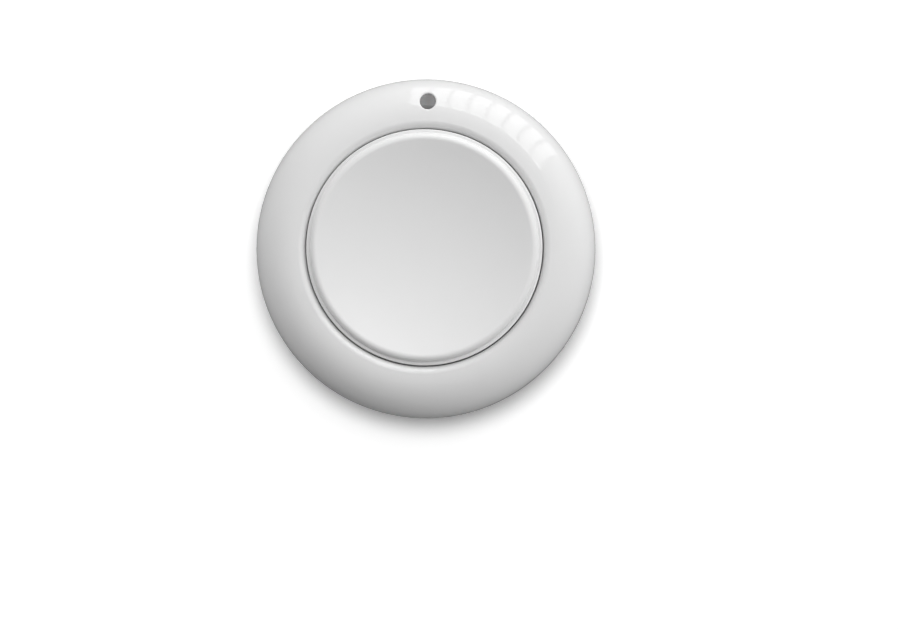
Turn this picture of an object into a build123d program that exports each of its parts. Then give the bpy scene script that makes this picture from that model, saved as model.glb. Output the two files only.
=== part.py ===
import math
import os

from build123d import *

# A round wireless remote switch, lying on its back. +Z is the way the button faces, +Y is the side with
# the indicator, the origin is the middle of the foam pad's underside, and lengths are in millimetres.

# Case
case_radius = 22.5
case_wall = 1.6
flank_width = 2.5
bezel_width = 5.76
dome_rise = 4.0
aperture_round = 1.0
collar_wall = 1.2
deck_thickness = 1.0
seam_drop = 4.9
seam_gap = 0.25
seam_depth = 0.45

# Button
button_gap = 0.1
ledge_width = 0.52
shoulder_width = 0.65
crown_rise = 0.5
dish_depth = 1.9
shoulder_drop = 0.5
toe_round = 0.15
ledge_round = 0.1
cap_thickness = 1.0
skirt_wall = 1.1
button_travel = 0.3
travel_spare = 0.15
pusher_radius = 2.2
pusher_length = 0.4
rib_width = 0.8
rib_count = 6

# Snap hooks that hold the button in the deck
hook_count = 3
hook_angle = 30
hook_inset = 1.7
hook_thickness = 1.0
hook_width = 3.0
hook_barb = 0.6
hook_tip = 0.7
hook_play = 0.1
slot_clearance = 0.15

# Indicator
indicator_inset = 3.17
lens_radius = 1.01
lens_flange_width = 0.45
lens_flange_thickness = 0.5
lens_clearance = 0.03
lens_recess = 0.15
lens_hole_round = 0.2
sleeve_wall = 0.55
led_length = 1.6
led_width = 0.8
led_base_height = 0.3
led_lens_height = 0.45
led_lens_length = 1.0
led_clearance = 0.35

# Rear shell
floor_thickness = 1.4
floor_round = 0.8
tongue_wall = 0.9
tongue_margin = 0.25
tongue_clearance = 0.05
bead_depth = 0.25
bead_width = 0.6
bead_below_top = 0.55
groove_spare = 0.1
ring_wall = 0.8
mark_radius = 0.4
mark_depth = 0.2
mark_offset = 0.65

# Foam pad
pad_thickness = 0.8
pad_inset = 1.0
pad_width = 4.0

# Battery door
door_recess = 0.15
door_plate = 1.4
door_flange = 0.9
door_edge = 0.15
door_margin = 0.4
door_clearance = 0.2
axial_play = 0.1
barrel_wall = 0.85
lug_count = 3
lug_reach = 1.1
lug_width_angle = 22
lug_side_angle = 2
stop_width_angle = 4.5
unlock_angle = 30
ledge_thickness = 1.0
coin_slot_length = 13.0
coin_slot_width = 1.8
coin_slot_depth = 0.8
arrow_radius = 0.6
arrow_inset = 1.0

# Coin cell
cell_radius = 10.0
cell_height = 3.2
cell_wall = 0.25
cell_round = 0.35
cell_cap_rise = 0.35
cell_rim_width = 0.9
cell_gasket_wall = 0.2
cell_gasket_lip = 0.1
cell_cap_slope = 0.3
cell_cap_flange = 0.4
cell_clearance = 0.25
pellet_clearance = 0.35

# Battery contacts and cradle
contact_room = 1.25
strip_thickness = 0.2
negative_width = 3.5
negative_foot = 4.0
negative_run = 2.4
negative_touch = 1.0
negative_toe = 0.8
negative_lift = 0.4
positive_width = 3.0
positive_angle = 210
positive_spread = 120
positive_foot = 2.2
positive_lean = 0.9
grip_below_rim = 0.05
grip_length = 0.45
grip_flare = 0.25
cradle_wall = 1.7
window_clearance = 0.2
peg_radius = 0.75
peg_clearance = 0.05

# Circuit board and its screws
board_thickness = 1.0
board_clearance = 0.7
antenna_margin = 0.5
antenna_width = 1.0
antenna_thickness = 0.07
antenna_gap_angle = 40
screw_radius = 0.85
screw_length = 4.0
screw_head_radius = 1.5
screw_head_height = 1.0
screw_head_clearance = 0.45
screw_slot_width = 0.45
screw_slot_length = 1.9
screw_slot_depth = 0.4
screw_fit = 0.02
screw_tip_spare = 0.2
screw_hole_clearance = 0.15
boss_radius = 1.9

# Push switch
switch_side = 6.0
switch_height = 2.2
switch_cover = 0.3
switch_floor = 0.6
switch_cavity_radius = 2.3
switch_rivet_radius = 0.4
switch_rivet_inset = 0.65
switch_rivet_rise = 0.1
switch_fit = 0.05
plunger_radius = 1.75
plunger_height = 0.9
plunger_flange_radius = 2.15
plunger_flange_thickness = 0.4
plunger_flange_gap = 0.1
plunger_round = 0.2
dome_sheet = 0.1
dome_margin = 0.1
terminal_width = 0.7
terminal_thickness = 0.2
terminal_reach = 1.6
terminal_pitch = 4.5
terminal_root = 0.5
window_spare = 0.65

# Radio parts on the board
encoder_length = 4.9
encoder_width = 3.9
encoder_height = 1.45
encoder_x = -8.3
encoder_y = -3.5
encoder_mark_radius = 0.3
encoder_mark_inset = 0.8
encoder_mark_depth = 0.1
encoder_lead_count = 4
encoder_lead_pitch = 1.27
encoder_lead_width = 0.42
encoder_lead_reach = 1.0
encoder_lead_root = 0.65
lead_thickness = 0.15
deck_clearance = 0.25
resonator_length = 5.0
resonator_width = 3.5
resonator_base_height = 0.4
resonator_lid_height = 1.0
resonator_rim = 0.25
resonator_x = 8.1
resonator_y = -3.4
transistor_length = 2.9
transistor_width = 1.3
transistor_height = 1.0
transistor_x = 8.2
transistor_y = 1.6
transistor_lead_pitch = 1.9
transistor_lead_width = 0.4
transistor_lead_reach = 0.55
transistor_lead_root = 0.5
chip_length = 2.0
chip_width = 1.25
chip_end = 0.35
resistor_height = 0.5
resistor_x = -6.0
resistor_y = 6.6
resistor_pitch = 2.4
resistor_count = 3
capacitor_height = 0.85
capacitor_x = 3.2
capacitor_y = 7.6
capacitor_pitch = 2.4
capacitor_count = 3
inductor_length = 2.5
inductor_width = 2.0
inductor_height = 1.2
inductor_end = 0.45
inductor_x = 6.0
inductor_y = -8.0

# Heights, from the wall upwards
rear_z = pad_thickness
door_z = rear_z + door_recess
cell_z = door_z + door_plate
cell_top_z = cell_z + cell_height
board_z = cell_top_z + contact_room
board_top_z = board_z + board_thickness
switch_top_z = board_top_z + switch_height
plunger_top_z = switch_top_z + plunger_height
cap_under_z = plunger_top_z + pusher_length
dish_z = cap_under_z + cap_thickness
crown_z = dish_z + dish_depth
crest_z = crown_z - crown_rise
girdle_z = crest_z - dome_rise
seam_z = girdle_z - seam_drop
front_edge_z = seam_z + seam_gap
ledge_z = crown_z - shoulder_drop - toe_round
deck_z = board_top_z + encoder_height + deck_clearance
deck_top_z = deck_z + deck_thickness
skirt_z = deck_top_z + button_travel + travel_spare
floor_top_z = rear_z + floor_thickness
tongue_top_z = board_z - tongue_margin
bead_z = tongue_top_z - bead_below_top
flange_top_z = door_z + door_flange
door_seat_z = flange_top_z + axial_play
door_ledge_z = door_seat_z + ledge_thickness
lug_z = door_ledge_z + axial_play
can_top_z = cell_top_z - cell_cap_rise
rim_under_z = can_top_z - cell_wall
grip_top_z = can_top_z - cell_round - grip_below_rim
grip_end_z = grip_top_z - grip_length
cradle_z = grip_end_z - grip_flare - strip_thickness / 2
barrel_top_z = cradle_z - door_clearance
strap_z = board_z - strip_thickness / 2
lens_z = board_top_z + led_base_height + led_lens_height + led_clearance
sleeve_z = lens_z + lens_flange_thickness
cover_z = switch_top_z - switch_cover
plunger_flange_top_z = cover_z - plunger_flange_gap
plunger_bottom_z = plunger_flange_top_z - plunger_flange_thickness
dome_foot_z = board_top_z + switch_floor

# Radii, from the rim of the case inwards
base_radius = case_radius - flank_width
crest_radius = case_radius - bezel_width
aperture_radius = crest_radius - aperture_round
button_radius = aperture_radius - button_gap
crown_radius = button_radius - ledge_width
face_radius = crown_radius - shoulder_width
collar_radius = aperture_radius + collar_wall
inner_radius = case_radius - case_wall
indicator_radius = case_radius - indicator_inset
tongue_radius = inner_radius - tongue_clearance
tongue_inner = tongue_radius - tongue_wall
skirt_inner = button_radius - skirt_wall
hook_radius = skirt_inner - hook_inset
cup_radius = cell_radius + cell_clearance
barrel_radius = cup_radius + barrel_wall
bore_radius = barrel_radius + door_clearance
lug_radius = barrel_radius + lug_reach
door_radius = lug_radius + door_margin
counterbore_radius = door_radius + door_clearance
ring_radius = counterbore_radius + ring_wall
pad_outer = base_radius - pad_inset
pad_inner = pad_outer - pad_width
cradle_radius = cup_radius + cradle_wall
peg_orbit = (cup_radius + cradle_radius) / 2
board_radius = inner_radius - board_clearance
boss_orbit = tongue_inner - screw_head_radius - screw_head_clearance
antenna_radius = boss_orbit - boss_radius - antenna_margin - antenna_width / 2
window_radius = switch_side / math.sqrt(2) + window_spare
cell_cap_radius = cell_radius - cell_rim_width - cell_gasket_wall
hook_outer = hook_radius + hook_thickness / 2
hook_inner = hook_radius - hook_thickness / 2
lens_flange_radius = lens_radius + lens_flange_width
sleeve_radius = lens_radius + lens_clearance + sleeve_wall


def angle_at(rise, semi_axis):
    """The parameter, in degrees, at which an ellipse reaches a rise above its centre."""
    return math.degrees(math.asin(rise / semi_axis))


def radial_wedge(inner, outer, middle_angle, width_angle):
    """The face of a sector of a ring, added to the sketch it is called in."""
    start = middle_angle - width_angle / 2
    with BuildLine() as outline:
        far_arc = CenterArc((0, 0), outer, start, width_angle)
        near_arc = CenterArc((0, 0), inner, start, width_angle)
        Line(near_arc @ 0, far_arc @ 0)
        Line(near_arc @ 1, far_arc @ 1)
    make_face(outline.edges())


def bent_lead(root_x, root_height, reach, width, thickness):
    """A gull-wing lead in the XZ plane, from the side of a package down to the board."""
    foot_z = board_top_z + thickness / 2
    root_z = board_top_z + root_height
    drop = root_z - foot_z
    bend = (reach - drop / 2) / 2
    with BuildPart() as lead:
        with BuildSketch(Plane.XZ):
            with BuildLine() as path:
                Polyline(
                    (root_x, root_z),
                    (root_x + bend, root_z),
                    (root_x + bend + drop / 2, foot_z),
                    (root_x + reach, foot_z),
                )
            trace(path.line, line_width=thickness)
        extrude(amount=width / 2, both=True)
    return lead.part


def finish(builder, name):
    """Labels a finished piece and writes it."""
    builder.part.label = name
    export_step(builder.part, f"parts/{name}.step")


# Foam pad, a ring with an adhesive face that holds the switch on a wall
with BuildPart() as adhesive_pad:
    with BuildSketch():
        Circle(pad_outer)
        Circle(pad_inner, mode=Mode.SUBTRACT)
    extrude(amount=pad_thickness)
finish(adhesive_pad, "adhesive_pad")

# Rear shell, with the battery opening, the tongue for the front shell and the seat of the door's lugs
flank_height = girdle_z - rear_z
rear_edge_angle = angle_at(seam_z - girdle_z, flank_height)
with BuildPart() as rear_shell:
    with BuildSketch(Plane.XZ):
        with BuildLine():
            flank = EllipticalCenterArc(
                (base_radius, girdle_z), flank_width, flank_height, -90, arc_size=90 + rear_edge_angle
            )
            Polyline(
                flank @ 1,
                ((flank @ 1).X - seam_depth, seam_z),
                ((flank @ 1).X - seam_depth, front_edge_z),
                (tongue_radius, front_edge_z),
                (tongue_radius, tongue_top_z),
                (tongue_inner, tongue_top_z),
                (tongue_inner, floor_top_z),
                (ring_radius, floor_top_z),
                (ring_radius, door_ledge_z),
                (bore_radius, door_ledge_z),
                (bore_radius, door_seat_z),
                (counterbore_radius, door_seat_z),
                (counterbore_radius, rear_z),
                flank @ 0,
            )
        make_face()
    revolve()
    with BuildSketch(Plane.XZ):
        with BuildLine():
            Polyline(
                (tongue_radius, bead_z - bead_width / 2),
                (tongue_radius + bead_depth, bead_z),
                (tongue_radius, bead_z + bead_width / 2),
                close=True,
            )
        make_face()
    revolve()
    fillet(
        rear_shell.edges()
        .filter_by(GeomType.CIRCLE)
        .filter_by(lambda edge: abs(edge.radius - tongue_inner) < 0.01)
        .sort_by(Axis.Z)[0],
        floor_round,
    )
    with BuildSketch(Plane.XY.offset(door_seat_z)):
        for turn in range(lug_count):
            radial_wedge(
                barrel_radius,
                lug_radius + door_clearance,
                turn * 360 / lug_count - unlock_angle,
                lug_width_angle + 2 * lug_side_angle,
            )
    extrude(amount=ledge_thickness, mode=Mode.SUBTRACT)
    with BuildSketch(Plane.XY.offset(door_ledge_z)):
        stop_offset = (lug_width_angle + stop_width_angle) / 2 + lug_side_angle
        for turn in range(lug_count):
            for middle in (stop_offset, -unlock_angle - stop_offset):
                radial_wedge(
                    barrel_radius + door_clearance,
                    counterbore_radius,
                    turn * 360 / lug_count + middle,
                    stop_width_angle,
                )
    extrude(amount=barrel_top_z - axial_play - door_ledge_z)
    with BuildSketch(Plane.XY.offset(rear_z)):
        with PolarLocations(counterbore_radius + mark_offset, 2, 90, -unlock_angle, endpoint=True):
            Circle(mark_radius)
    extrude(amount=mark_depth, mode=Mode.SUBTRACT)
finish(rear_shell, "rear_shell")

# The room inside the front shell, around its bosses and the sleeve of the indicator
roof_width = bezel_width - case_wall
roof_height = dome_rise - case_wall
roof_angle = 90 - angle_at(collar_radius - crest_radius, roof_width)
with BuildPart() as front_room:
    with BuildSketch(Plane.XZ):
        with BuildLine():
            roof = EllipticalCenterArc(
                (crest_radius, girdle_z), roof_width, roof_height, 0, arc_size=roof_angle
            )
            Polyline(
                roof @ 1,
                (collar_radius, deck_z),
                (0, deck_z),
                (0, front_edge_z),
                (inner_radius, front_edge_z),
                roof @ 0,
            )
        make_face()
    revolve()
    with BuildSketch(Plane.XY.offset(board_top_z)):
        with PolarLocations(boss_orbit, hook_count, hook_angle):
            Circle(boss_radius)
    extrude(amount=crest_z - board_top_z, mode=Mode.SUBTRACT)
    with BuildSketch(Plane.XY.offset(sleeve_z)):
        with Locations((0, indicator_radius)):
            Circle(sleeve_radius)
    extrude(amount=crest_z - sleeve_z, mode=Mode.SUBTRACT)

# Front shell, with its domed bezel, the collar and deck around the button, and the bosses
front_edge_angle = angle_at(front_edge_z - girdle_z, flank_height)
with BuildPart() as front_shell:
    with BuildSketch(Plane.XZ):
        with BuildLine():
            side = EllipticalCenterArc(
                (base_radius, girdle_z),
                flank_width,
                flank_height,
                front_edge_angle,
                arc_size=-front_edge_angle,
            )
            dome = EllipticalCenterArc(
                (crest_radius, girdle_z), bezel_width, dome_rise, 0, arc_size=90
            )
            lip = CenterArc((crest_radius, crest_z - aperture_round), aperture_round, 90, 90)
            Polyline(
                lip @ 1,
                (aperture_radius, deck_top_z),
                (window_radius, deck_top_z),
                (window_radius, front_edge_z),
                side @ 0,
            )
        make_face()
    revolve()
    add(front_room.part, mode=Mode.SUBTRACT)
    with BuildSketch(Plane.XY.offset(deck_z)):
        slot_inner = hook_inner - hook_barb - slot_clearance
        slot_outer = hook_outer + slot_clearance
        with PolarLocations((slot_inner + slot_outer) / 2, hook_count, hook_angle):
            Rectangle(slot_outer - slot_inner, hook_width + 2 * slot_clearance)
    extrude(amount=deck_thickness, mode=Mode.SUBTRACT)
    with BuildSketch(Plane.XY.offset(board_top_z)):
        with PolarLocations(boss_orbit, hook_count, hook_angle):
            Circle(screw_radius + screw_fit)
    extrude(amount=screw_length - board_thickness + screw_tip_spare, mode=Mode.SUBTRACT)
    with BuildSketch(Plane.XY.offset(sleeve_z)):
        with Locations((0, indicator_radius)):
            Circle(lens_radius + lens_clearance)
    extrude(amount=crest_z - sleeve_z, mode=Mode.SUBTRACT)
    fillet(
        front_shell.edges()
        .filter_by(lambda edge: abs((edge @ 0).Y - indicator_radius) < sleeve_radius)
        .filter_by(lambda edge: abs((edge @ 0).X) < sleeve_radius)
        .filter_by(lambda edge: edge.bounding_box().size.X > lens_radius)
        .sort_by(Axis.Z)[-1],
        lens_hole_round,
    )
    with BuildSketch(Plane.XY.offset(lens_z)):
        with Locations((0, indicator_radius)):
            Circle(lens_flange_radius + lens_clearance)
    extrude(amount=lens_flange_thickness, mode=Mode.SUBTRACT)
    with BuildSketch(Plane.XZ):
        with BuildLine():
            Polyline(
                (inner_radius, bead_z - bead_width / 2 - groove_spare),
                (inner_radius + bead_depth + groove_spare, bead_z),
                (inner_radius, bead_z + bead_width / 2 + groove_spare),
                close=True,
            )
        make_face()
    revolve(mode=Mode.SUBTRACT)
finish(front_shell, "front_shell")

# Indicator lens, a light pipe that follows the dome just below its surface
with BuildPart() as indicator_lens:
    with BuildSketch(Plane.XY.offset(lens_z)):
        with Locations((0, indicator_radius)):
            Circle(lens_flange_radius)
    extrude(amount=lens_flange_thickness)
    with BuildSketch(Plane.XY.offset(sleeve_z)):
        with Locations((0, indicator_radius)):
            Circle(lens_radius)
    extrude(amount=crest_z - sleeve_z)
    with BuildSketch(Plane.XZ):
        with BuildLine():
            skin = EllipticalCenterArc(
                (crest_radius, girdle_z),
                bezel_width - lens_recess,
                dome_rise - lens_recess,
                0,
                arc_size=90,
            )
            Polyline(skin @ 1, (crest_radius, board_z), ((skin @ 0).X, board_z), skin @ 0)
        make_face()
    revolve(mode=Mode.INTERSECT)
finish(indicator_lens, "indicator_lens")

# One snap hook of the button, in the XZ plane
with BuildPart() as snap_hook:
    hook_top_z = crown_z - cap_thickness
    barb_z = deck_z - hook_play
    with BuildSketch(Plane.XZ):
        with BuildLine():
            Polyline(
                (hook_inner, hook_top_z),
                (hook_outer, hook_top_z),
                (hook_outer, barb_z),
                (hook_outer + hook_barb, barb_z),
                (hook_outer, barb_z - hook_tip),
                (hook_inner, barb_z - hook_tip),
                close=True,
            )
        make_face()
    extrude(amount=hook_width / 2, both=True)

# Button cap, a shallow dish with a rounded shoulder, a narrow ledge and a skirt
rim_angle = 2 * math.atan(dish_depth / face_radius)
shoulder_lean = math.degrees(math.atan(math.tan(rim_angle) * shoulder_width / shoulder_drop))
with BuildPart() as button_cap:
    with BuildSketch(Plane.XZ):
        with BuildLine():
            shoulder = EllipticalCenterArc(
                (face_radius, crown_z - shoulder_drop),
                shoulder_width,
                shoulder_drop,
                0,
                arc_size=90 + shoulder_lean,
            )
            toe = CenterArc((crown_radius + toe_round, ledge_z + toe_round), toe_round, 180, 90)
            edge = CenterArc((button_radius - ledge_round, ledge_z - ledge_round), ledge_round, 0, 90)
            Line(toe @ 1, edge @ 1)
            TangentArc((0, dish_z), shoulder @ 1, tangent=(1, 0))
            under = TangentArc((0, cap_under_z), (skirt_inner, crown_z - cap_thickness), tangent=(1, 0))
            Polyline(edge @ 0, (button_radius, skirt_z), (skirt_inner, skirt_z), under @ 1)
            Line((0, cap_under_z), (0, dish_z))
        make_face()
    revolve()
    with BuildSketch(Plane.XY.offset(plunger_top_z)):
        Circle(pusher_radius)
    extrude(amount=pusher_length + cap_thickness / 2)
    with BuildSketch(Plane.XY.offset(skirt_z)):
        with PolarLocations(0, rib_count // 2):
            Rectangle(2 * skirt_inner + skirt_wall, rib_width)
    extrude(amount=cap_under_z + cap_thickness / 2 - skirt_z)
    with PolarLocations(0, hook_count, hook_angle):
        add(snap_hook.part)
finish(button_cap, "button_cap")

# Battery door, a disc with a cup for the cell, a coin slot and three bayonet lugs
with BuildPart() as battery_door:
    with BuildSketch(Plane.XY.offset(door_z)):
        Circle(door_radius)
    extrude(amount=door_flange)
    chamfer(battery_door.edges().filter_by(GeomType.CIRCLE).sort_by(Axis.Z)[0], door_edge)
    with BuildSketch(Plane.XY.offset(door_z)):
        Circle(barrel_radius)
    extrude(amount=barrel_top_z - door_z)
    with BuildSketch(Plane.XY.offset(lug_z)):
        for turn in range(lug_count):
            radial_wedge(cup_radius, lug_radius, turn * 360 / lug_count, lug_width_angle)
    extrude(amount=barrel_top_z - lug_z)
    with BuildSketch(Plane.XY.offset(cell_z)):
        Circle(cup_radius)
    extrude(amount=barrel_top_z - cell_z, mode=Mode.SUBTRACT)
    with BuildSketch(Plane.XY.offset(door_z)):
        SlotOverall(coin_slot_length, coin_slot_width)
    extrude(amount=coin_slot_depth, mode=Mode.SUBTRACT)
    with BuildSketch(Plane.XY.offset(door_z)):
        with PolarLocations(door_radius - arrow_inset, 1, 90):
            RegularPolygon(arrow_radius, 3)
    extrude(amount=mark_depth, mode=Mode.SUBTRACT)
finish(battery_door, "battery_door")

# Coin cell: the positive can, the sealing ring, the negative cap and what they enclose
can_inner = cell_radius - cell_wall
rim_radius = cell_radius - cell_rim_width
cap_flange_radius = cell_cap_radius + cell_cap_flange
cap_flange_z = rim_under_z - cell_gasket_wall
cap_inside_z = cell_top_z - cell_wall
with BuildPart() as coin_cell_can:
    with BuildSketch(Plane.XZ):
        with BuildLine():
            Polyline(
                (0, cell_z),
                (cell_radius, cell_z),
                (cell_radius, can_top_z),
                (rim_radius, can_top_z),
                (rim_radius, rim_under_z),
                (can_inner, rim_under_z),
                (can_inner, cell_z + cell_wall),
                (0, cell_z + cell_wall),
                close=True,
            )
        make_face()
    revolve()
    fillet(
        coin_cell_can.edges()
        .filter_by(GeomType.CIRCLE)
        .filter_by(lambda edge: abs(edge.radius - cell_radius) < 0.01),
        cell_round,
    )
finish(coin_cell_can, "coin_cell_can")

with BuildPart() as coin_cell_gasket:
    with BuildSketch(Plane.XZ):
        with BuildLine():
            Polyline(
                (cap_flange_radius, cell_z + cell_wall),
                (can_inner, cell_z + cell_wall),
                (can_inner, rim_under_z),
                (rim_radius, rim_under_z),
                (rim_radius, can_top_z + cell_gasket_lip),
                (cell_cap_radius, can_top_z + cell_gasket_lip),
                (cell_cap_radius, cap_flange_z),
                (cap_flange_radius, cap_flange_z),
                close=True,
            )
        make_face()
    revolve()
finish(coin_cell_gasket, "coin_cell_gasket")

with BuildPart() as coin_cell_cap:
    with BuildSketch(Plane.XZ):
        with BuildLine():
            Polyline(
                (0, cell_top_z),
                (cell_cap_radius - cell_cap_slope, cell_top_z),
                (cell_cap_radius, cell_top_z - cell_cap_slope),
                (cell_cap_radius, cap_flange_z),
                (cap_flange_radius, cap_flange_z),
                (cap_flange_radius, cap_flange_z - cell_wall),
                (cell_cap_radius - cell_wall, cap_flange_z - cell_wall),
                (cell_cap_radius - cell_wall, cap_inside_z - cell_cap_slope / 2),
                (cell_cap_radius - cell_wall - cell_cap_slope / 2, cap_inside_z),
                (0, cap_inside_z),
                close=True,
            )
        make_face()
    revolve()
finish(coin_cell_cap, "coin_cell_cap")

with BuildPart() as coin_cell_pellet:
    with BuildSketch(Plane.XY.offset(cell_z + cell_wall)):
        Circle(cell_cap_radius - cell_wall - pellet_clearance)
    extrude(amount=cap_inside_z - cell_z - cell_wall)
finish(coin_cell_pellet, "coin_cell_pellet")

# Battery contacts: a tongue that presses on the cell's cap, and two that grip the can's side
with BuildPart() as negative_contact:
    with BuildSketch(Plane.XZ):
        touch_z = cell_top_z + strip_thickness / 2
        with BuildLine() as tongue_path:
            Polyline(
                (-negative_foot, strap_z),
                (0, strap_z),
                (negative_run, touch_z),
                (negative_run + negative_touch, touch_z),
                (negative_run + negative_touch + negative_toe, touch_z + negative_lift),
            )
        trace(tongue_path.line, line_width=strip_thickness)
    extrude(amount=negative_width / 2, both=True)
finish(negative_contact, "negative_contact")

grip_radius = cell_radius + strip_thickness / 2
with BuildPart() as side_grip:
    with BuildSketch(Plane.XZ):
        with BuildLine() as grip_path:
            Polyline(
                (grip_radius + positive_lean + positive_foot, strap_z),
                (grip_radius + positive_lean, strap_z),
                (grip_radius, grip_top_z),
                (grip_radius, grip_end_z),
                (grip_radius + grip_flare, grip_end_z - grip_flare),
            )
        trace(grip_path.line, line_width=strip_thickness)
    extrude(amount=positive_width / 2, both=True)

with BuildPart() as positive_contacts:
    with PolarLocations(0, 2, positive_angle, positive_spread, endpoint=True):
        add(side_grip.part)
finish(positive_contacts, "positive_contacts")

# Battery cradle, a ring under the board that keeps the cell in place
window_width = positive_width + 2 * window_clearance
window_outer = grip_radius + positive_lean + strip_thickness / 2 + window_clearance
with BuildPart() as battery_cradle:
    with BuildSketch(Plane.XY.offset(cradle_z)):
        Circle(cradle_radius)
        Circle(cup_radius, mode=Mode.SUBTRACT)
    extrude(amount=board_z - cradle_z)
    with BuildSketch(Plane.XY.offset(cradle_z)):
        with PolarLocations(window_outer / 2, 2, positive_angle, positive_spread, endpoint=True):
            Rectangle(window_outer, window_width)
    extrude(amount=board_z - cradle_z, mode=Mode.SUBTRACT)
    with BuildSketch(Plane.XY.offset(strap_z - strip_thickness / 2 - window_clearance)):
        with PolarLocations(cradle_radius / 2, 2, positive_angle, positive_spread, endpoint=True):
            Rectangle(cradle_radius + 2 * window_clearance, window_width)
    extrude(amount=strip_thickness + window_clearance, mode=Mode.SUBTRACT)
    with BuildSketch(Plane.XY.offset(board_z)):
        with PolarLocations(peg_orbit, hook_count, hook_angle):
            Circle(peg_radius - peg_clearance)
    extrude(amount=board_thickness)
finish(battery_cradle, "battery_cradle")

# Circuit board, its printed loop antenna and the screws that hold it to the front shell
with BuildPart() as circuit_board:
    with BuildSketch(Plane.XY.offset(board_z)):
        Circle(board_radius)
        with PolarLocations(boss_orbit, hook_count, hook_angle):
            Circle(screw_radius + screw_hole_clearance, mode=Mode.SUBTRACT)
        with PolarLocations(peg_orbit, hook_count, hook_angle):
            Circle(peg_radius, mode=Mode.SUBTRACT)
    extrude(amount=board_thickness)
finish(circuit_board, "circuit_board")

with BuildPart() as loop_antenna:
    with BuildSketch(Plane.XY.offset(board_top_z)):
        radial_wedge(
            antenna_radius - antenna_width / 2,
            antenna_radius + antenna_width / 2,
            -90,
            360 - antenna_gap_angle,
        )
    extrude(amount=antenna_thickness)
finish(loop_antenna, "loop_antenna")

with BuildPart() as board_screws:
    with BuildSketch(Plane.XY.offset(board_z - screw_head_height)):
        with PolarLocations(boss_orbit, hook_count, hook_angle):
            Circle(screw_head_radius)
    extrude(amount=screw_head_height)
    with BuildSketch(Plane.XY.offset(board_z)):
        with PolarLocations(boss_orbit, hook_count, hook_angle):
            Circle(screw_radius)
    extrude(amount=screw_length)
    with BuildSketch(Plane.XY.offset(board_z - screw_head_height)):
        with PolarLocations(boss_orbit, hook_count, hook_angle):
            Rectangle(screw_slot_length, screw_slot_width)
            Rectangle(screw_slot_width, screw_slot_length)
    extrude(amount=screw_slot_depth, mode=Mode.SUBTRACT)
finish(board_screws, "board_screws")

# Push switch: base, metal cover, snap dome, plunger and four terminals
rivet_spacing = switch_side - 2 * switch_rivet_inset
with BuildPart() as switch_base:
    with BuildSketch(Plane.XY.offset(board_top_z)):
        Rectangle(switch_side, switch_side)
    extrude(amount=cover_z - board_top_z)
    with BuildSketch(Plane.XY.offset(dome_foot_z)):
        Circle(switch_cavity_radius)
    extrude(amount=cover_z - dome_foot_z, mode=Mode.SUBTRACT)
    with BuildSketch(Plane.XY.offset(cover_z)):
        with GridLocations(rivet_spacing, rivet_spacing, 2, 2):
            Circle(switch_rivet_radius)
    extrude(amount=switch_cover + switch_rivet_rise)
finish(switch_base, "switch_base")

with BuildPart() as switch_cover_plate:
    with BuildSketch(Plane.XY.offset(cover_z)):
        Rectangle(switch_side, switch_side)
        Circle(plunger_radius + switch_fit, mode=Mode.SUBTRACT)
        with GridLocations(rivet_spacing, rivet_spacing, 2, 2):
            Circle(switch_rivet_radius + switch_fit, mode=Mode.SUBTRACT)
    extrude(amount=switch_cover)
finish(switch_cover_plate, "switch_cover")

with BuildPart() as switch_plunger:
    with BuildSketch(Plane.XY.offset(plunger_bottom_z)):
        Circle(plunger_flange_radius)
    extrude(amount=plunger_flange_thickness)
    with BuildSketch(Plane.XY.offset(plunger_flange_top_z)):
        Circle(plunger_radius)
    extrude(amount=plunger_top_z - plunger_flange_top_z)
    fillet(switch_plunger.edges().filter_by(GeomType.CIRCLE).sort_by(Axis.Z)[-1], plunger_round)
finish(switch_plunger, "switch_plunger")

with BuildPart() as switch_dome:
    dome_radius = switch_cavity_radius - dome_margin
    with BuildSketch(Plane.XZ):
        with BuildLine():
            upper = ThreePointArc(
                (-dome_radius, dome_foot_z), (0, plunger_bottom_z), (dome_radius, dome_foot_z)
            )
            lower = ThreePointArc(
                (dome_sheet - dome_radius, dome_foot_z),
                (0, plunger_bottom_z - dome_sheet),
                (dome_radius - dome_sheet, dome_foot_z),
            )
            Line(upper @ 0, lower @ 0)
            Line(upper @ 1, lower @ 1)
        make_face()
        with Locations((-switch_side, dome_foot_z)):
            Rectangle(2 * switch_side, 2 * switch_side, mode=Mode.SUBTRACT)
    revolve()
finish(switch_dome, "switch_dome")

switch_lead = bent_lead(
    switch_side / 2, terminal_root, terminal_reach, terminal_width, terminal_thickness
)
with BuildPart() as switch_terminals:
    for side_angle in (0, 180):
        with Locations(Location((0, 0, 0), (0, 0, side_angle))):
            with GridLocations(0, terminal_pitch, 1, 2):
                add(switch_lead)
finish(switch_terminals, "switch_terminals")

# Indicator light
with BuildPart() as led_base:
    with BuildSketch(Plane.XY.offset(board_top_z)):
        with Locations((0, indicator_radius)):
            Rectangle(led_length, led_width)
    extrude(amount=led_base_height)
finish(led_base, "led_base")

with BuildPart() as led_lens:
    with BuildSketch(Plane.XY.offset(board_top_z + led_base_height)):
        with Locations((0, indicator_radius)):
            Rectangle(led_lens_length, led_width)
    extrude(amount=led_lens_height)
    fillet(led_lens.edges().group_by(Axis.Z)[-1].filter_by(Axis.Y), led_lens_height / 3)
finish(led_lens, "led_lens")

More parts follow.
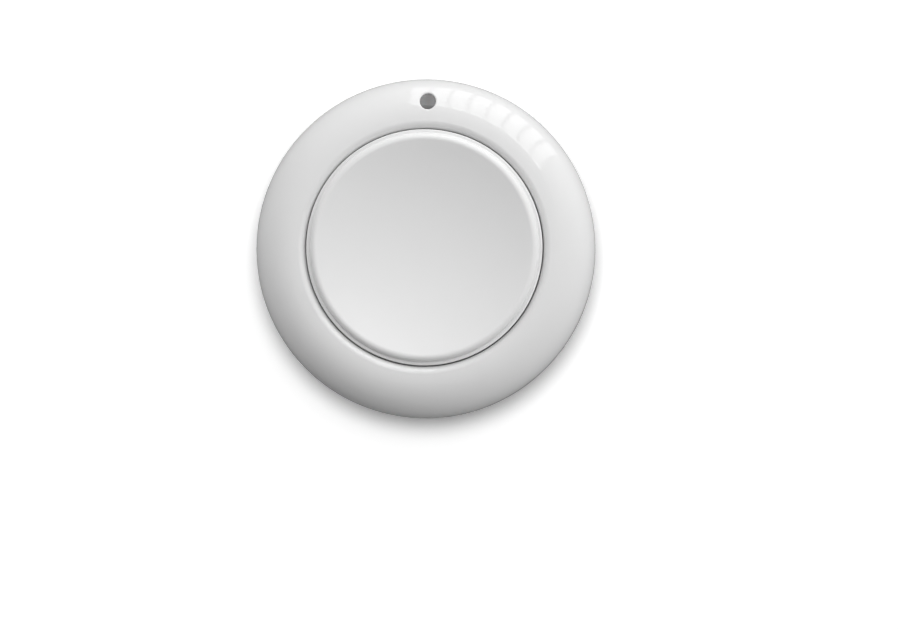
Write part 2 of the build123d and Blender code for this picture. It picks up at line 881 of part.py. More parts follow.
# Encoder chip with eight leads
with BuildPart() as encoder_chip:
    with BuildSketch(Plane.XY.offset(board_top_z + lead_thickness)):
        with Locations((encoder_x, encoder_y)):
            Rectangle(encoder_length, encoder_width)
    extrude(amount=encoder_height - lead_thickness)
    with BuildSketch(Plane.XY.offset(board_top_z + encoder_height - encoder_mark_depth)):
        with Locations(
            (
                encoder_x - encoder_length / 2 + encoder_mark_inset,
                encoder_y - encoder_width / 2 + encoder_mark_inset,
            )
        ):
            Circle(encoder_mark_radius)
    extrude(amount=encoder_mark_depth, mode=Mode.SUBTRACT)
finish(encoder_chip, "encoder_chip")

encoder_lead = bent_lead(
    encoder_width / 2, encoder_lead_root, encoder_lead_reach, encoder_lead_width, lead_thickness
)
with BuildPart() as encoder_leads:
    for side_angle in (90, -90):
        with Locations(Location((encoder_x, encoder_y, 0), (0, 0, side_angle))):
            with GridLocations(0, encoder_lead_pitch, 1, encoder_lead_count):
                add(encoder_lead)
finish(encoder_leads, "encoder_leads")

# Resonator in a metal can
with BuildPart() as resonator_base:
    with BuildSketch(Plane.XY.offset(board_top_z)):
        with Locations((resonator_x, resonator_y)):
            Rectangle(resonator_length, resonator_width)
    extrude(amount=resonator_base_height)
finish(resonator_base, "resonator_base")

with BuildPart() as resonator_lid:
    with BuildSketch(Plane.XY.offset(board_top_z + resonator_base_height)):
        with Locations((resonator_x, resonator_y)):
            RectangleRounded(
                resonator_length - 2 * resonator_rim, resonator_width - 2 * resonator_rim, resonator_rim
            )
    extrude(amount=resonator_lid_height)
finish(resonator_lid, "resonator_lid")

# Radio transistor with three leads
with BuildPart() as rf_transistor:
    with BuildSketch(Plane.XY.offset(board_top_z + lead_thickness)):
        with Locations((transistor_x, transistor_y)):
            Rectangle(transistor_length, transistor_width)
    extrude(amount=transistor_height - lead_thickness)
finish(rf_transistor, "rf_transistor")

transistor_lead = bent_lead(
    transistor_width / 2,
    transistor_lead_root,
    transistor_lead_reach,
    transistor_lead_width,
    lead_thickness,
)
with BuildPart() as transistor_leads:
    with Locations(Location((transistor_x, transistor_y, 0), (0, 0, -90))):
        with GridLocations(0, transistor_lead_pitch, 1, 2):
            add(transistor_lead)
    with Locations(Location((transistor_x, transistor_y, 0), (0, 0, 90))):
        add(transistor_lead)
finish(transistor_leads, "transistor_leads")

# Chip resistors, chip capacitors, an inductor and their metal ends
def chip_column(length, end, width, height, x, y, pitch, count):
    """The bodies and the metal ends of a column of equal chips."""
    with BuildPart() as bodies:
        with BuildSketch(Plane.XY.offset(board_top_z)):
            with Locations((x, y)):
                with GridLocations(0, pitch, 1, count):
                    Rectangle(length - 2 * end, width)
        extrude(amount=height)
    with BuildPart() as ends:
        with BuildSketch(Plane.XY.offset(board_top_z)):
            with Locations((x, y)):
                with GridLocations(length - end, pitch, 2, count):
                    Rectangle(end, width)
        extrude(amount=height)
    return bodies, ends


resistor_bodies, resistor_ends = chip_column(
    chip_length,
    chip_end,
    chip_width,
    resistor_height,
    resistor_x,
    resistor_y,
    resistor_pitch,
    resistor_count,
)
finish(resistor_bodies, "resistor_bodies")

capacitor_bodies, capacitor_ends = chip_column(
    chip_length,
    chip_end,
    chip_width,
    capacitor_height,
    capacitor_x,
    capacitor_y,
    capacitor_pitch,
    capacitor_count,
)
finish(capacitor_bodies, "capacitor_bodies")

inductor_body, inductor_ends = chip_column(
    inductor_length,
    inductor_end,
    inductor_width,
    inductor_height,
    inductor_x,
    inductor_y,
    inductor_width,
    1,
)
finish(inductor_body, "inductor_body")

with BuildPart() as chip_end_caps:
    add(resistor_ends.part)
    add(capacitor_ends.part)
    add(inductor_ends.part)
finish(chip_end_caps, "chip_end_caps")
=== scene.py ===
"""A round white wireless switch: its dressed pieces, a pale floor, soft light and the camera."""
import logging
import math
from abc import ABC, abstractmethod
from dataclasses import dataclass
from enum import Enum
from typing import Any, ClassVar, Sequence

import bpy
from mathutils import Matrix, Vector


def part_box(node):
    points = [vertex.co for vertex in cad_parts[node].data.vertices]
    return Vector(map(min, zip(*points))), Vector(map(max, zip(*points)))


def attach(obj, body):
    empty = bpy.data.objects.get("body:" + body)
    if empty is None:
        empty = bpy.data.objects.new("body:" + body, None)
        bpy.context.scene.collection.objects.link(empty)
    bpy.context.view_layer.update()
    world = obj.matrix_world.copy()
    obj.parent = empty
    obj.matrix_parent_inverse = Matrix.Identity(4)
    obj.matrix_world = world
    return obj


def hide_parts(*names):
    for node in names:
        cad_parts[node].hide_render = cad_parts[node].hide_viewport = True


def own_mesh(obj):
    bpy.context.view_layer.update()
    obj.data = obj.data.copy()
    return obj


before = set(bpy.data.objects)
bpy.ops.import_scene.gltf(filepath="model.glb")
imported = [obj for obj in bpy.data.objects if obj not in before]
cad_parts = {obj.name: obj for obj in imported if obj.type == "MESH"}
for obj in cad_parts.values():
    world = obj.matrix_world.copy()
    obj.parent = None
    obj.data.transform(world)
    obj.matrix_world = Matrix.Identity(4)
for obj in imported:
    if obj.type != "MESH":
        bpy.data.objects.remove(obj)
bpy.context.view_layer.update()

log = logging.getLogger("switch")

Colour = tuple[float, float, float]
Point = tuple[float, float, float]
Span = tuple[float, float]
Outline = Sequence[tuple[float, float]]

MM = 0.001
EVEN: Point = (1, 1, 1)
HOUSING = "housing"

# A Mix node has sockets for numbers, vectors and colours. These are the ones that mix colours.
MIX_AMOUNT, MIX_FIRST, MIX_SECOND, MIX_RESULT = 0, 6, 7, 2

# Points closer than WELD are one point. A bevel can leave slivers, which are up to SLIVER wide.
WELD = 1e-7
SLIVER = 5e-7
SMOOTH_BELOW = math.radians(40)


class Nodes:
    """A node tree that starts with its output alone, with short ways to add and join nodes."""

    def __init__(self, owner: bpy.types.Material | bpy.types.World, output: str) -> None:
        """Empties the tree and adds its output.

        Args:
            owner: The material or the world.
            output: The type of its output, without the leading "ShaderNode".
        """
        owner.use_nodes = True
        self.tree = owner.node_tree
        self.tree.nodes.clear()
        self.output = self.node(output)

    def node(self, kind: str, **settings: Any) -> bpy.types.Node:
        """Adds a node.

        Args:
            kind: The node's type, without the leading "ShaderNode".
            **settings: Values for the node's own properties.

        Returns:
            The new node.
        """
        made = self.tree.nodes.new("ShaderNode" + kind)
        for name, value in settings.items():
            setattr(made, name, value)
        return made

    def put(self, value: Any, target: bpy.types.NodeSocket) -> None:
        """Joins an input to another socket, or sets it to a fixed value.

        Args:
            value: The socket or the value.
            target: The input.
        """
        if isinstance(value, bpy.types.NodeSocket):
            self.tree.links.new(value, target)
        else:
            target.default_value = value

    def surface(self, shader: bpy.types.Node) -> None:
        """Makes a shader node what the output shows."""
        self.put(shader.outputs[0], self.output.inputs["Surface"])

    def spread(
        self, value: bpy.types.NodeSocket, low: Any, high: Any, start: float = 0.3, end: float = 0.7
    ) -> bpy.types.NodeSocket:
        """Maps a pattern to a range.

        Args:
            value: The pattern.
            low: What the start becomes, as a number or a socket.
            high: What the end becomes, as a number or a socket.
            start: The pattern's value at the low end.
            end: The pattern's value at the high end.

        Returns:
            The socket with the new values.
        """
        scale = self.node("MapRange")
        inputs = {"Value": value, "From Min": start, "From Max": end, "To Min": low, "To Max": high}
        for name, source in inputs.items():
            self.put(source, scale.inputs[name])
        return scale.outputs["Result"]

    def reckon(
        self, operation: str, first: bpy.types.NodeSocket, second: bpy.types.NodeSocket
    ) -> bpy.types.NodeSocket:
        """Works out a sum, a product or the like.

        Args:
            operation: Blender's name for it.
            first: The first value.
            second: The second value.

        Returns:
            The socket with the result.
        """
        result = self.node("Math", operation=operation)
        self.put(first, result.inputs[0])
        self.put(second, result.inputs[1])
        return result.outputs["Value"]


class Swatch(Nodes):
    """The nodes of a new material, around a Principled shader."""

    def __init__(self, name: str) -> None:
        """Starts a material.

        Args:
            name: The material's name.
        """
        self.material = bpy.data.materials.new(name)
        super().__init__(self.material, "OutputMaterial")
        self.shader = self.node("BsdfPrincipled")
        self.surface(self.shader)

    def place(self, stretch: Point = EVEN) -> bpy.types.NodeSocket:
        """The point on the object, in metres, stretched along its axes.

        Args:
            stretch: The factor along each axis.

        Returns:
            The socket that carries the point.
        """
        where = self.node("TexCoord")
        mapping = self.node("Mapping")
        self.put(stretch, mapping.inputs["Scale"])
        self.put(where.outputs["Object"], mapping.inputs["Vector"])
        return mapping.outputs["Vector"]

    def noise(self, size: float, detail: float = 3, stretch: Point = EVEN) -> bpy.types.NodeSocket:
        """A noise pattern.

        Args:
            size: The width of its blotches, in metres.
            detail: How many finer layers it has.
            stretch: The factor along each axis.

        Returns:
            The socket that carries it, about 0 to 1.
        """
        pattern = self.node("TexNoise")
        self.put(1 / size, pattern.inputs["Scale"])
        self.put(detail, pattern.inputs["Detail"])
        self.put(self.place(stretch), pattern.inputs["Vector"])
        return pattern.outputs["Fac"]

    def cells(self, size: float) -> bpy.types.NodeSocket:
        """A pattern of cells.

        Args:
            size: The width of a cell, in metres.

        Returns:
            The socket that carries the distance from the middle of a cell.
        """
        pattern = self.node("TexVoronoi", feature="F1")
        self.put(1 / size, pattern.inputs["Scale"])
        self.put(self.place(), pattern.inputs["Vector"])
        return pattern.outputs["Distance"]

    def blend(self, amount: bpy.types.NodeSocket, first: Colour, second: Colour) -> bpy.types.NodeSocket:
        """Mixes two colours by a pattern.

        Args:
            amount: 0 for the first colour and 1 for the second.
            first: A linear colour.
            second: A linear colour.

        Returns:
            The socket with the mixed colour.
        """
        mix = self.node("Mix", data_type="RGBA")
        self.put((*first, 1), mix.inputs[MIX_FIRST])
        self.put((*second, 1), mix.inputs[MIX_SECOND])
        self.put(amount, mix.inputs[MIX_AMOUNT])
        return mix.outputs[MIX_RESULT]

    def fix(self, **values: Any) -> None:
        """Gives the shader's inputs, named with underscores for spaces, their values or sockets."""
        for name, value in values.items():
            self.put(value, self.shader.inputs[name.replace("_", " ")])

    def tint(self, pattern: bpy.types.NodeSocket, colour: Colour, tones: Span) -> None:
        """Colours the surface by a pattern, in tones of one colour.

        Args:
            pattern: The pattern.
            colour: A linear colour.
            tones: The factors on the colour at the pattern's ends.
        """
        low, high = tones
        self.fix(Base_Color=self.blend(pattern, shade(colour, low), shade(colour, high)))

    def polish(
        self, pattern: bpy.types.NodeSocket, roughness: float, unevenness: Span = (0.9, 1.1)
    ) -> None:
        """Varies the roughness by a pattern.

        Args:
            pattern: The pattern.
            roughness: The mean roughness.
            unevenness: The factors on it at the pattern's ends.
        """
        low, high = unevenness
        self.fix(Roughness=self.spread(pattern, roughness * low, roughness * high))

    def relief(self, height: bpy.types.NodeSocket, depth: float) -> None:
        """Gives the surface a fine relief, on top of any that it has.

        Args:
            height: The pattern, 0 to 1.
            depth: What a value of 1 stands for, in metres.
        """
        bump = self.node("Bump")
        self.put(1, bump.inputs["Strength"])
        self.put(depth, bump.inputs["Distance"])
        self.put(height, bump.inputs["Height"])
        for link in list(self.shader.inputs["Normal"].links):
            self.put(link.from_socket, bump.inputs["Normal"])
        self.fix(Normal=bump.outputs["Normal"])


def shade(colour: Colour, factor: float) -> Colour:
    """The colour, lighter or darker by a factor."""
    return tuple(min(channel * factor, 1.0) for channel in colour)


@dataclass(frozen=True)
class Finish(ABC):
    """The look of a piece. Each kind of finish paints its own nodes."""

    name: str

    @abstractmethod
    def paint(self, swatch: Swatch) -> None:
        """Adds the finish to a new material.

        Args:
            swatch: The material's nodes.
        """

    def material(self) -> bpy.types.Material:
        """Makes a material with this finish.

        Returns:
            The material.
        """
        swatch = Swatch(self.name)
        self.paint(swatch)
        return swatch.material


@dataclass(frozen=True)
class MouldedPlastic(Finish):
    """A moulded plastic: clouded pigment, the grain of the mould, and the slow waves of shrinkage.

    Attributes:
        colour: Its linear colour.
        roughness: Its mean roughness.
        clouds: How far the clouds are from the colour, as a share of it.
        cloud_size: Their width.
        smear: The width of patches that differ in polish.
        grain: The width of the mould's grain.
        depth: The depth of the grain.
        wave: The width of the waves.
        wave_depth: Their depth. There are none at 0.
        bleed: The share of light that goes under the surface.
        bleed_depth: How far it goes.
        ior: The index of refraction.
    """

    colour: Colour
    roughness: float
    clouds: float = 0.01
    cloud_size: float = 4 * MM
    smear: float = 1.5 * MM
    grain: float = 0.05 * MM
    depth: float = 0.0004 * MM
    wave: float = 2.2 * MM
    wave_depth: float = 0.0
    bleed: float = 0.0
    bleed_depth: float = 0.5 * MM
    ior: float = 1.5

    def paint(self, swatch: Swatch) -> None:
        """Adds the pigment, the polish, the grain and the waves."""
        swatch.tint(swatch.noise(self.cloud_size, 2), self.colour, (1 - self.clouds, 1 + self.clouds))
        swatch.polish(swatch.noise(self.smear, 4), self.roughness)
        swatch.relief(swatch.noise(self.grain, 2), self.depth)
        if self.wave_depth:
            swatch.relief(swatch.noise(self.wave, 1), self.wave_depth)
        swatch.fix(IOR=self.ior, Subsurface_Weight=self.bleed)
        swatch.fix(Subsurface_Scale=self.bleed_depth, Subsurface_Radius=EVEN)


@dataclass(frozen=True)
class Foam(Finish):
    """A closed-cell foam: matt, with open pores where it was cut, painted darker in their hollows as
    painted shade.
    """

    colour: Colour
    pore: float = 0.22 * MM
    walls: Span = (0.1, 0.55)
    # tones: the factors on the colour at a pore's top and in its hollow; the darker hollow is painted
    # shade.
    tones: Span = (1.12, 0.72)
    roughness: Span = (0.85, 1.0)
    depth: float = 0.03 * MM

    def paint(self, swatch: Swatch) -> None:
        """Adds the pores, with painted shade: the colour darkens where a pore is deep."""
        hollow = swatch.spread(swatch.cells(self.pore), 0, 1, *self.walls)
        # Painted shade: the colour darkens with the pore's depth, as if shadow lay in it.
        swatch.tint(hollow, self.colour, self.tones)
        swatch.fix(Roughness=swatch.spread(hollow, *self.roughness, 0, 1))
        swatch.relief(swatch.spread(hollow, 1, 0, 0, 1), self.depth)


@dataclass(frozen=True)
class Plating(Finish):
    """Plated sheet metal, with the fine lines that rolling leaves and a slightly uneven lustre."""

    colour: Colour
    roughness: float
    stretch: Point = (1, 14, 1)
    line: float = 0.4 * MM
    depth: float = 0.0008 * MM
    tarnish: float = 2.5 * MM
    tones: Span = (0.88, 1.08)
    lustre: Span = (0.8, 1.25)

    def paint(self, swatch: Swatch) -> None:
        """Adds the lines and the tarnish."""
        lines = swatch.noise(self.line, 4, self.stretch)
        swatch.tint(swatch.noise(self.tarnish), self.colour, self.tones)
        swatch.polish(lines, self.roughness, self.lustre)
        swatch.relief(lines, self.depth)
        swatch.fix(Metallic=1)


@dataclass(frozen=True)
class Ceramic(Finish):
    """A fired ceramic body: matt and faintly speckled."""

    colour: Colour
    roughness: float = 0.55
    speck: float = 0.09 * MM
    edges: Span = (0.15, 0.6)
    tones: Span = (1.06, 0.86)
    glaze: float = 0.3 * MM
    depth: float = 0.002 * MM

    def paint(self, swatch: Swatch) -> None:
        """Adds the specks and the glaze."""
        specks = swatch.spread(swatch.cells(self.speck), 0, 1, *self.edges)
        swatch.tint(specks, self.colour, self.tones)
        swatch.polish(swatch.noise(self.glaze), self.roughness)
        swatch.relief(specks, self.depth)


@dataclass(frozen=True)
class SmokedWindow(Finish):
    """A smoke-grey translucent moulding with a polished face."""

    colour: Colour
    roughness: float
    smoke: float = 0.7 * MM
    tones: Span = (0.95, 1.05)
    smear: float = 0.2 * MM
    gloss: Span = (0.8, 1.2)
    grain: float = 0.1 * MM
    depth: float = 0.0002 * MM
    coat: float = 0.1
    coat_roughness: float = 0.05
    bleed: float = 0.15
    bleed_depth: float = 0.4 * MM

    def paint(self, swatch: Swatch) -> None:
        """Adds the smoke, the polish and the skin."""
        swatch.tint(swatch.noise(self.smoke, 2), self.colour, self.tones)
        swatch.polish(swatch.noise(self.smear), self.roughness, self.gloss)
        swatch.relief(swatch.noise(self.grain, 2), self.depth)
        swatch.fix(Coat_Weight=self.coat, Coat_Roughness=self.coat_roughness)
        swatch.fix(Subsurface_Weight=self.bleed, Subsurface_Scale=self.bleed_depth)


@dataclass(frozen=True)
class ClearResin(Finish):
    """A cast resin that lets light through, with a slight haze."""

    colour: Colour
    roughness: float = 0.12
    haze: float = 0.25 * MM
    tones: Span = (0.9, 1.05)
    gloss: Span = (0.7, 1.4)
    clearness: float = 0.55
    ior: float = 1.5

    def paint(self, swatch: Swatch) -> None:
        """Adds the haze and lets light through."""
        haze = swatch.noise(self.haze)
        swatch.tint(haze, self.colour, self.tones)
        swatch.polish(haze, self.roughness, self.gloss)
        swatch.fix(Transmission_Weight=self.clearness, IOR=self.ior)


@dataclass(frozen=True)
class BoardLaminate(Finish):
    """A glass-fibre board under solder mask, through which its weave shows faintly."""

    mask: Colour
    glass: Colour
    pitch: float = 0.35 * MM
    row_height: float = 0.5
    thread_gap: float = 0.12
    patch: float = 1.5 * MM
    patch_strength: Span = (0.2, 0.7)
    film: float = 0.6 * MM
    roughness: Span = (0.26, 0.38)
    depth: float = 0.004 * MM

    def paint(self, swatch: Swatch) -> None:
        """Adds the weave, which shows more in some patches, and the film of the mask."""
        weave = swatch.node("TexBrick", offset=0.5, squash=1.0)
        swatch.put(1 / self.pitch, weave.inputs["Scale"])
        swatch.put(self.thread_gap, weave.inputs["Mortar Size"])
        swatch.put(1.0, weave.inputs["Mortar Smooth"])
        swatch.put(1.0, weave.inputs["Brick Width"])
        swatch.put(self.row_height, weave.inputs["Row Height"])
        swatch.put(swatch.place(), weave.inputs["Vector"])
        patches = swatch.spread(swatch.noise(self.patch, 2), *self.patch_strength)
        cloth = swatch.reckon("MULTIPLY", weave.outputs["Fac"], patches)
        film = swatch.noise(self.film, 2)
        swatch.fix(Base_Color=swatch.blend(cloth, self.mask, self.glass))
        swatch.fix(Roughness=swatch.spread(film, *self.roughness))
        swatch.relief(film, self.depth)


@dataclass(frozen=True)
class PressedPowder(Finish):
    """The pressed dark powder inside the cell."""

    colour: Colour
    grit: float = 0.12 * MM
    edges: Span = (0.1, 0.6)
    tones: Span = (1.4, 0.6)
    patch: float = 0.5 * MM
    roughness: Span = (0.8, 0.95)
    depth: float = 0.01 * MM

    def paint(self, swatch: Swatch) -> None:
        """Adds the grit."""
        grit = swatch.cells(self.grit)
        swatch.tint(swatch.spread(grit, 0, 1, *self.edges), self.colour, self.tones)
        swatch.fix(Roughness=swatch.spread(swatch.noise(self.patch), *self.roughness))
        swatch.relief(grit, self.depth)


WHITE = (0.735, 0.735, 0.735)

GLOSS_WHITE = MouldedPlastic("gloss_white", WHITE, 0.05, wave_depth=0.002 * MM, clouds=0.004, bleed=0.4)
PEARL_WHITE = MouldedPlastic(
    "pearl_white", WHITE, 0.32, grain=0.06 * MM, depth=0.0008 * MM, clouds=0.004, bleed=0.4
)
BACK_WHITE = MouldedPlastic("back_white", shade(WHITE, 0.98), 0.42, grain=0.12 * MM, depth=0.003 * MM)
BLACK_MOULDING = MouldedPlastic(
    "black_moulding", (0.02, 0.02, 0.022), 0.45, grain=0.08 * MM, depth=0.002 * MM
)
CHIP_BLACK = MouldedPlastic("chip_black", (0.018, 0.018, 0.02), 0.55, depth=0.003 * MM)
SEAL_BLACK = MouldedPlastic("seal_black", (0.05, 0.05, 0.05), 0.6, grain=0.1 * MM, depth=0.002 * MM)
SMOKE_GREY = SmokedWindow("smoke_grey", (0.135, 0.135, 0.135), 0.12)
RESIN = ClearResin("led_resin", (0.9, 0.88, 0.74))
GREY_FOAM = Foam("grey_foam", (0.4, 0.41, 0.42))
ADHESIVE = MouldedPlastic(
    "adhesive", (0.6, 0.58, 0.5), 0.2, grain=0.4 * MM, depth=0.002 * MM, clouds=0.03
)
GREEN_BOARD = BoardLaminate("green_board", (0.008, 0.095, 0.038), (0.018, 0.14, 0.06))
NICKEL = Plating("nickel", (0.62, 0.6, 0.56), 0.22)
CELL_STEEL = Plating("cell_steel", (0.6, 0.59, 0.57), 0.26, stretch=(1, 9, 1), line=0.6 * MM)
SOLDER = Plating("solder", (0.63, 0.64, 0.66), 0.24, stretch=EVEN, line=0.25 * MM, depth=0.003 * MM)
TIN = Plating("tin", (0.66, 0.66, 0.66), 0.34, stretch=EVEN, line=0.15 * MM, depth=0.002 * MM)
GOLD = Plating("gold", (0.85, 0.6, 0.24), 0.25, stretch=EVEN, line=0.2 * MM)
IVORY_CERAMIC = Ceramic("ivory_ceramic", (0.72, 0.66, 0.52))
TAN_CERAMIC = Ceramic("tan_ceramic", (0.42, 0.27, 0.14))
POWDER = PressedPowder("cell_powder", (0.06, 0.06, 0.06))


def deselect() -> None:
    """Leaves object mode with nothing selected."""
    if bpy.context.mode != "OBJECT":
        bpy.ops.object.mode_set(mode="OBJECT")
    bpy.ops.object.select_all(action="DESELECT")


def choose(piece: bpy.types.Object) -> None:
    """Selects one piece alone, and makes it active."""
    deselect()
    piece.select_set(True)
    bpy.context.view_layer.objects.active = piece


def drawn(name: str, outline: Outline, closed: bool = True) -> bpy.types.Object:
    """Draws an outline in the XZ plane, by pulling one point along it.

    Args:
        name: The new piece's name.
        outline: Points as X and Z in metres, in order, the last not equal to the first.
        closed: Whether the last point is joined to the first.

    Returns:
        The new piece, which is the outline's edges alone.
    """
    deselect()
    bpy.ops.mesh.primitive_plane_add(size=MM, location=(0, 0, 0))
    piece = bpy.context.object
    piece.name = name
    bpy.ops.object.mode_set(mode="EDIT")
    bpy.ops.mesh.merge(type="CENTER")
    bpy.ops.transform.translate(value=(outline[0][0], 0, outline[0][1]))
    route = [*outline[1:], outline[0]] if closed else outline[1:]
    for (from_x, from_z), (to_x, to_z) in zip(outline, route):
        step = (to_x - from_x, 0, to_z - from_z)
        bpy.ops.mesh.extrude_region_move(TRANSFORM_OT_translate={"value": step})
    bpy.ops.mesh.select_all(action="SELECT")
    bpy.ops.mesh.remove_doubles(threshold=WELD)
    bpy.ops.object.mode_set(mode="OBJECT")
    return piece


def turned(name: str, outline: Outline, steps: int, closed: bool = True) -> bpy.types.Object:
    """Turns an outline round the axis of the switch.

    Args:
        name: The new piece's name.
        outline: Points as radius and height in metres, in order, the last not equal to the first.
        steps: How many facets go round.
        closed: Whether the last point is joined to the first. An outline that ends on the axis is not.

    Returns:
        The new piece, smooth but for its sharp edges.
    """
    piece = drawn(name, outline, closed)
    bpy.ops.object.mode_set(mode="EDIT")
    bpy.ops.mesh.select_all(action="SELECT")
    bpy.ops.mesh.spin(steps=steps, angle=2 * math.pi, center=(0, 0, 0), axis=(0, 0, 1))
    bpy.ops.mesh.select_all(action="SELECT")
    bpy.ops.mesh.remove_doubles(threshold=WELD)
    bpy.ops.mesh.normals_make_consistent(inside=False)
    bpy.ops.object.mode_set(mode="OBJECT")
    bpy.ops.object.shade_smooth_by_angle(angle=SMOOTH_BELOW)
    return piece


def settle(piece: bpy.types.Object, finish: Finish) -> bpy.types.Object:
    """Gives a new piece its finish and its material slot, and lets it ride on the housing.

    Args:
        piece: The new piece, in place.
        finish: Its finish.

    Returns:
        The piece.
    """
    choose(piece)
    bpy.ops.object.transform_apply(location=True, rotation=True, scale=True)
    piece.data.materials.clear()
    piece.data.materials.append(finish.material())
    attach(piece, HOUSING)
    log.info("%s made, in %s", piece.name, finish.name)
    return piece


class Dressed:
    """An assembly whose CAD pieces keep their shapes and get finishes."""

    finishes: ClassVar[dict[str, Finish]] = {}

    def build(self) -> None:
        """Dresses each piece."""
        for node, finish in self.finishes.items():
            material = finish.material()
            for material_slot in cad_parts[node].material_slots:
                material_slot.material = material
            log.info("%s dressed as %s", node, finish.name)


class FrontCase(Dressed):
    """The glossy front shell with its domed bezel."""

    finishes = {"front_shell": GLOSS_WHITE}


class IndicatorWindow(Dressed):
    """The grey light pipe in the bezel and the light below it."""

    finishes = {"indicator_lens": SMOKE_GREY, "led_base": IVORY_CERAMIC, "led_lens": RESIN}


class Button(Dressed):
    """The dished button cap."""

    finishes = {"button_cap": PEARL_WHITE}


class BackCase(Dressed):
    """The rear shell."""

    finishes = {"rear_shell": BACK_WHITE}


class Door(Dressed):
    """The battery door."""

    finishes = {"battery_door": BACK_WHITE}


class CoinCell(Dressed):
    """The coin cell, its contacts and its cradle."""

    finishes = {
        "coin_cell_can": CELL_STEEL,
        "coin_cell_cap": CELL_STEEL,
        "coin_cell_gasket": SEAL_BLACK,
        "coin_cell_pellet": POWDER,
        "positive_contacts": NICKEL,
        "negative_contact": NICKEL,
        "battery_cradle": BLACK_MOULDING,
    }


class Electronics(Dressed):
    """The board with its antenna, its screws, the push switch and the radio parts."""

    finishes = {
        "circuit_board": GREEN_BOARD,
        "loop_antenna": GOLD,
        "board_screws": NICKEL,
        "switch_base": BLACK_MOULDING,
        "switch_cover": NICKEL,
        "switch_plunger": BLACK_MOULDING,
        "switch_terminals": TIN,
        "encoder_chip": CHIP_BLACK,
        "encoder_leads": TIN,
        "resonator_base": IVORY_CERAMIC,
        "resonator_lid": NICKEL,
        "rf_transistor": CHIP_BLACK,
        "transistor_leads": TIN,
        "resistor_bodies": CHIP_BLACK,
        "capacitor_bodies": TAN_CERAMIC,
        "inductor_body": IVORY_CERAMIC,
        "chip_end_caps": TIN,
    }


@dataclass
class FoamRing:
    """The foam pad: a soft ring whose cut sides bow in a little, between two adhesive films.

    Attributes:
        width: The width of the ring.
        film: The thickness of a film.
        film_inset: How far a film stays inside the foam's edges.
        bow: How far the sides bow in.
        bow_points: How many points a side has.
        steps: How many facets go round.
    """

    width: float = 4.0 * MM
    film: float = 0.06 * MM
    film_inset: float = 0.05 * MM
    bow: float = 0.08 * MM
    bow_points: int = 7
    steps: int = 160

    def side(self, radius: float, outward: int, low: float, high: float) -> Outline:
        """One bowed side of the foam.

        Args:
            radius: Where its edges are.
            outward: 1 for the outer side and -1 for the inner one.
            low: The height of its lower edge.
            high: The height of its upper edge.

        Returns:
            Points as radius and height, from the lower to the upper edge.
        """
        points = []
        for index in range(self.bow_points):
            share = index / (self.bow_points - 1)
            hollow = outward * self.bow * math.sin(math.pi * share)
            points.append((radius - hollow, low + share * (high - low)))
        return points

    def adhesive(self, name: str, inner: float, outer: float, low: float) -> None:
        """Lays one adhesive film.

        Args:
            name: The film's name.
            inner: The ring's inner radius.
            outer: The ring's outer radius.
            low: The height of its lower face.
        """
        near, far, high = inner + self.film_inset, outer - self.film_inset, low + self.film
        outline = [(near, low), (far, low), (far, high), (near, high)]
        settle(turned(name, outline, self.steps), ADHESIVE)

    def build(self) -> None:
        """Models the foam and its films in place of the plain ring."""
        lowest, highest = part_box("adhesive_pad")
        outer = highest[0]
        inner = outer - self.width
        low, high = lowest[2] + self.film, highest[2] - self.film
        outline = [*self.side(outer, 1, low, high), *reversed(self.side(inner, -1, low, high))]
        foam = settle(turned("foam_ring", outline, self.steps), GREY_FOAM)
        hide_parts("adhesive_pad")
        self.adhesive("wall_adhesive", inner, outer, lowest[2])
        self.adhesive("shell_adhesive", inner, outer, high)


@dataclass
class SnapDome:
    """The springy steel dome of the push switch, under the plunger.

    Attributes:
        sheet: The thickness of its sheet.
        travel: How far the plunger comes down. Not used.
        arc_points: How many points a face has, from the crown to the foot.
        steps: How many facets go round.
    """

    sheet: float = 0.1 * MM
    travel: float = 0.3 * MM
    arc_points: int = 13
    steps: int = 64

    def arc(self, radius: float, foot: float, top: float) -> Outline:
        """One face of the dome.

        Args:
            radius: Its radius at the foot.
            foot: The height of its foot.
            top: The height of its crown.

        Returns:
            Points as radius and height, from the crown to the foot.
        """
        rise = top - foot
        bend = (radius**2 + rise**2) / (2 * rise)
        reach = math.asin(radius / bend)
        angles = [reach * index / (self.arc_points - 1) for index in range(self.arc_points)]
        return [(bend * math.sin(angle), top - bend + bend * math.cos(angle)) for angle in angles]

    def build(self) -> None:
        """Models the dome in place of the CAD one, which it hides."""
        low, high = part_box("switch_dome")
        foot, top = low[2], high[2]
        upper = self.arc(high[0], foot, top)
        lower = self.arc(high[0] - self.sheet, foot, top - self.sheet)
        shell = turned("snap_dome", [*upper, *reversed(lower)], self.steps, closed=False)
        dome = settle(shell, NICKEL)
        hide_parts("switch_dome")
        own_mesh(dome)


@dataclass(frozen=True)
class SolderRow:
    """A row of equal solder joints at the ends of some leads or chips.

    Attributes:
        node: The piece whose ends are soldered.
        axis: The axis along which they point, 0 for X and 1 for Y.
        sides: The ends that are soldered, -1 for the lower and 1 for the higher.
        count: How many joints there are at an end.
        width: The width of a joint.
        height: The height of a joint.
        cap: How far metal ends stand out from the piece.
    """

    node: str
    axis: int
    sides: tuple[int, ...]
    count: int
    width: float
    height: float
    cap: float = 0.0


